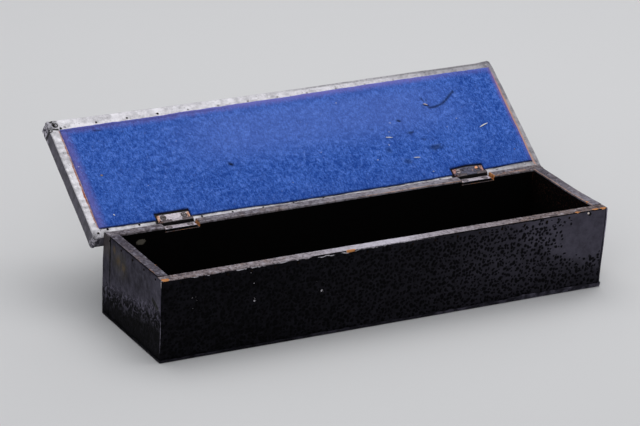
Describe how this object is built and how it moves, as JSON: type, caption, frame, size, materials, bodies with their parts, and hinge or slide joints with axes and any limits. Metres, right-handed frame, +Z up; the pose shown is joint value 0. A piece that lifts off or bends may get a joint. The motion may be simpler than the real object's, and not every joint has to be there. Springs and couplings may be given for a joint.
{
  "type": "metal box",
  "caption": "Long low wooden box clad in dark punched sheet metal, with a felt-lined overhanging lid that swings back on butt hinges let into the rear rim.",
  "frame": {"origin": "middle of the flat base that the case stands on", "axes": "+X along the length to the right end, +Y to the back, where the hinges are, +Z up"},
  "size_m": [0.3664, 0.1863, 0.1148],
  "materials": {
    "carcass_wood": "black-stained softwood, rubbed through to bare wood on the arrises",
    "lid_wood": "plain softwood, covered",
    "punched_sheet": "thin black-lacquered sheet with small punched pits",
    "dark_sheet": "thin black-lacquered sheet, crumpled and scratched",
    "lid_sheet": "thin sheet, rubbed bright where it is turned in",
    "blue_felt": "glued wool felt, faded at its edges",
    "hinge_steel": "worn grey with orange rust",
    "screw_steel": "dull, rusted",
    "tack_steel": "blackened",
    "nail_steel": "plain wire nail"
  },
  "bodies": {
    "case": {"front_board": "carcass_wood", "rear_board": "carcass_wood", "left_end_board": "carcass_wood", "right_end_board": "carcass_wood", "bottom_board": "carcass_wood", "front_sheet": "punched_sheet", "rear_sheet": "dark_sheet", "left_end_sheet": "dark_sheet", "right_end_sheet": "dark_sheet", "base_sheet": "dark_sheet", "wall_nails": "nail_steel", "bottom_nails": "nail_steel", "front_tacks": "tack_steel", "rear_tacks": "tack_steel", "left_end_tacks": "tack_steel", "right_end_tacks": "tack_steel", "left_case_leaf": "hinge_steel", "left_pin": "hinge_steel", "left_case_screws": "screw_steel", "right_case_leaf": "hinge_steel", "right_pin": "hinge_steel", "right_case_screws": "screw_steel"},
    "lid": {"lid_board": "lid_wood", "lid_cover": "lid_sheet", "lid_felt": "blue_felt", "lid_tacks": "tack_steel", "left_lid_leaf": "hinge_steel", "left_lid_screws": "screw_steel", "right_lid_leaf": "hinge_steel", "right_lid_screws": "screw_steel"}
  },
  "joints": [
    {"name": "lid_hinge", "type": "hinge", "parent": "case", "child": "lid", "pos_m": [0, 0.048, 0.0611], "axis": [1, 0, 0], "range_deg": [0, 146]}
  ]
}
